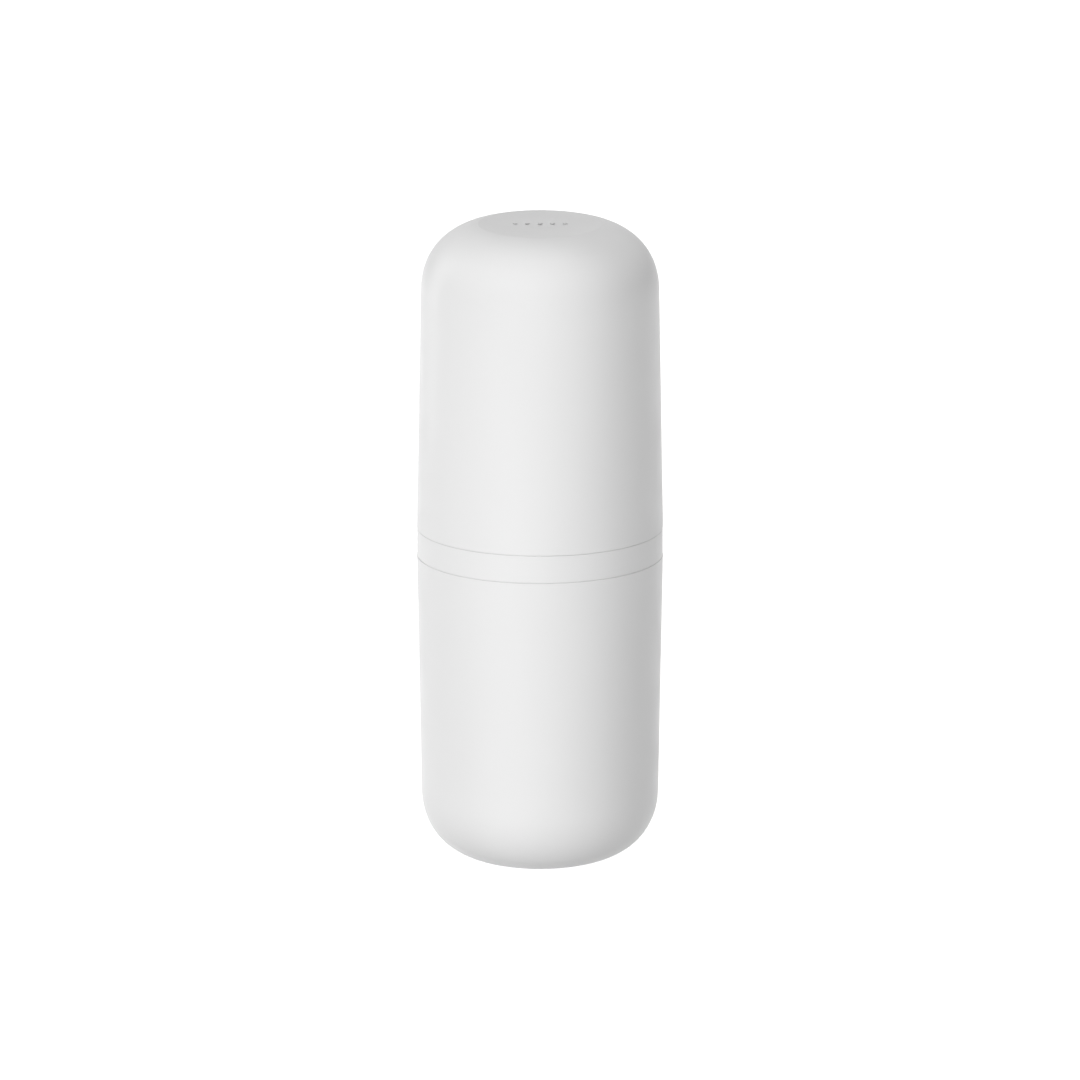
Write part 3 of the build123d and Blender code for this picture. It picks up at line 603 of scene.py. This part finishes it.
# the gap at the top of the broken ring, in degrees
SIGN_GAP = 70
SIGN_STEPS = 32
BAR_START = 0.5 * MM
BAR_STEP = 0.25 * MM
BAR_POINTS = 8


def on_button(across, up):
    """The point of the button's face at this place, seen from outside."""
    start = outside + sideways * across + Vector((0, 0, up))
    hit = button_tree.ray_cast(start, inward)[0]
    return hit - inward * SIGN_PROUD


def print_strip(mesh, path):
    """A printed line, with a little thickness, along pairs of (inner, outer) points."""
    rows = []
    for inner, outer in path:
        top = [on_button(*inner), on_button(*outer)]
        under = [point + inward * 3 * SIGN_PROUD for point in top]
        rows.append([mesh.verts.new(point) for point in (top[0], top[1], under[1], under[0])])
    for first, second in zip(rows, rows[1:]):
        for index in range(4):
            after = (index + 1) % 4
            mesh.faces.new((first[index], first[after], second[after], second[index]))
    mesh.faces.new(rows[0][::-1])
    mesh.faces.new(rows[-1])


sign = bmesh.new()
inner = SIGN_RADIUS - SIGN_LINE / 2
outer = SIGN_RADIUS + SIGN_LINE / 2
arc = []
for step in range(SIGN_STEPS + 1):
    angle = math.radians(90 + SIGN_GAP / 2 + (360 - SIGN_GAP) * step / SIGN_STEPS)
    across, up = math.cos(angle), math.sin(angle)
    arc.append(((inner * across, inner * up), (outer * across, outer * up)))
print_strip(sign, arc)
bar_heights = [BAR_START + BAR_STEP * step for step in range(BAR_POINTS)]
print_strip(sign, [((-SIGN_LINE / 2, up), (SIGN_LINE / 2, up)) for up in bar_heights])
ink = moulded_plastic(
    "printed_ink", (0.16, 0.165, 0.17), 0.45, grain=3000.0, relief=0.002 * MM, spread=1.15
)
add_piece("power_sign", sign, "button", "silicone", ink)

# ---------------------------------------------------------------- stage, lights and camera

# the camera looks at the front from a little above (degrees) and from far off (metres)
AIM = Vector((0, 0, 0.11236))
CAMERA_ELEVATION = 14.15
CAMERA_DISTANCE = 4.722
LENS = 456.3
FLOOR_RADIUS = 12.0


def around(azimuth, elevation, distance):
    """A point round the object. Azimuth 0 is the camera's side, and grows to the right."""
    a = math.radians(azimuth)
    e = math.radians(elevation)
    return AIM + distance * Vector((math.sin(a) * math.cos(e), -math.cos(a) * math.cos(e), math.sin(e)))


def look_at(thing, target):
    """Turns a camera or lamp, which looks along its -Z, to face a point."""
    thing.rotation_euler = (target - thing.location).to_track_quat("-Z", "Y").to_euler()


scene = bpy.context.scene
camera = bpy.data.objects.new("camera", bpy.data.cameras.new("camera"))
scene.collection.objects.link(camera)
camera.data.sensor_width = 36.0
camera.data.lens = LENS
camera.data.clip_end = 50.0
camera.location = around(0, CAMERA_ELEVATION, CAMERA_DISTANCE)
look_at(camera, AIM)
scene.camera = camera

floor_material, _, floor_shader = node_material("floor")
floor_shader.inputs["Base Color"].default_value = (0.9, 0.9, 0.9, 1)
floor_shader.inputs["Roughness"].default_value = 0.9
floor_shader.inputs["Emission Color"].default_value = (1, 1, 1, 1)
floor_shader.inputs["Emission Strength"].default_value = 0.9
bpy.ops.mesh.primitive_circle_add(
    vertices=96, radius=FLOOR_RADIUS, fill_type="NGON", location=(0, 0, 0)
)
floor = bpy.context.object
floor.name = "floor"
floor.data.materials.append(floor_material)
# it is a white sweep: it shows as white, and throws no light up at the object
floor.visible_diffuse = False
floor.visible_glossy = False

# name, azimuth, elevation, width, height, power; only the rim lamp shows in the gloss
LAMP_DISTANCE = 1.6
LIGHTS = (
    ("key", -40, 2, 0.9, 0.15, 12.4),
    ("front", 0, 2, 0.9, 0.15, 7.6),
    ("right", 40, 2, 0.9, 0.15, 5.5),
    ("left", -70, 2, 0.9, 0.15, 2.2),
    ("back", 180, -2, 0.9, 0.1, 9.0),
    ("top", 0, 88, 0.9, 0.9, 7.8),
    ("rim", -120, 12, 0.4, 1.4, 4.2),
)
for name, azimuth, elevation, width, height, power in LIGHTS:
    light = bpy.data.lights.new(name, "AREA")
    light.shape = "RECTANGLE"
    light.size = width
    light.size_y = height
    light.energy = power
    lamp = bpy.data.objects.new(name, light)
    lamp.location = around(azimuth, elevation, LAMP_DISTANCE)
    look_at(lamp, AIM)
    scene.collection.objects.link(lamp)
    lamp.visible_glossy = name == "rim"

# a white room whose brightness changes with height: (height, brightness), from straight down at -1
# to straight up at 1, once for gloss and once for shade; SEEN_ROOM is what the camera sees behind
GLOSS_ROOM = ((-1, 0.0), (-0.5, 1.3), (-0.17, 1.89), (0, 0.8), (0.21, 1.03), (0.5, 1.55), (1, 1.89))
SHADE_ROOM = ((-1, 0.718), (-0.3, 0.0), (0.3, 0.0), (1, 0.39))
ROOM_TOP = 3.0
SEEN_ROOM = 1.28

world = bpy.data.worlds.new("studio")
world.use_nodes = True
room = world.node_tree
background = room.nodes["Background"]
background.inputs["Strength"].default_value = ROOM_TOP
direction = room.nodes.new("ShaderNodeTexCoord")
room_height = remap(room, axes(room, direction.outputs["Generated"])[2], 0, 1, -1, 1)


def room_ramp(stops):
    """The room's brightness by height, as a ramp."""
    ramp = room.nodes.new("ShaderNodeValToRGB")
    room.links.new(room_height, ramp.inputs[0])
    elements = ramp.color_ramp.elements
    elements.remove(elements[-1])
    for index, (level, brightness) in enumerate(stops):
        position = (level + 1) / 2
        element = elements[0] if index == 0 else elements.new(position)
        element.position = position
        share = brightness / ROOM_TOP
        element.color = (share, share, share, 1)
    return ramp.outputs[0]


rays = room.nodes.new("ShaderNodeLightPath")
lit = mix_colours(room, rays.outputs["Is Diffuse Ray"], room_ramp(GLOSS_ROOM), room_ramp(SHADE_ROOM))
plain = room_ramp(((0, SEEN_ROOM),))
room.links.new(mix_colours(room, rays.outputs["Is Camera Ray"], lit, plain), background.inputs["Color"])
# with no sampling map, only rays that bounce into the room meet it, and each is gloss or shade
world.cycles.sampling_method = "NONE"
scene.world = world
scene.view_settings.view_transform = "Standard"

# ---------------------------------------------------------------- the end

bpy.context.view_layer.update()
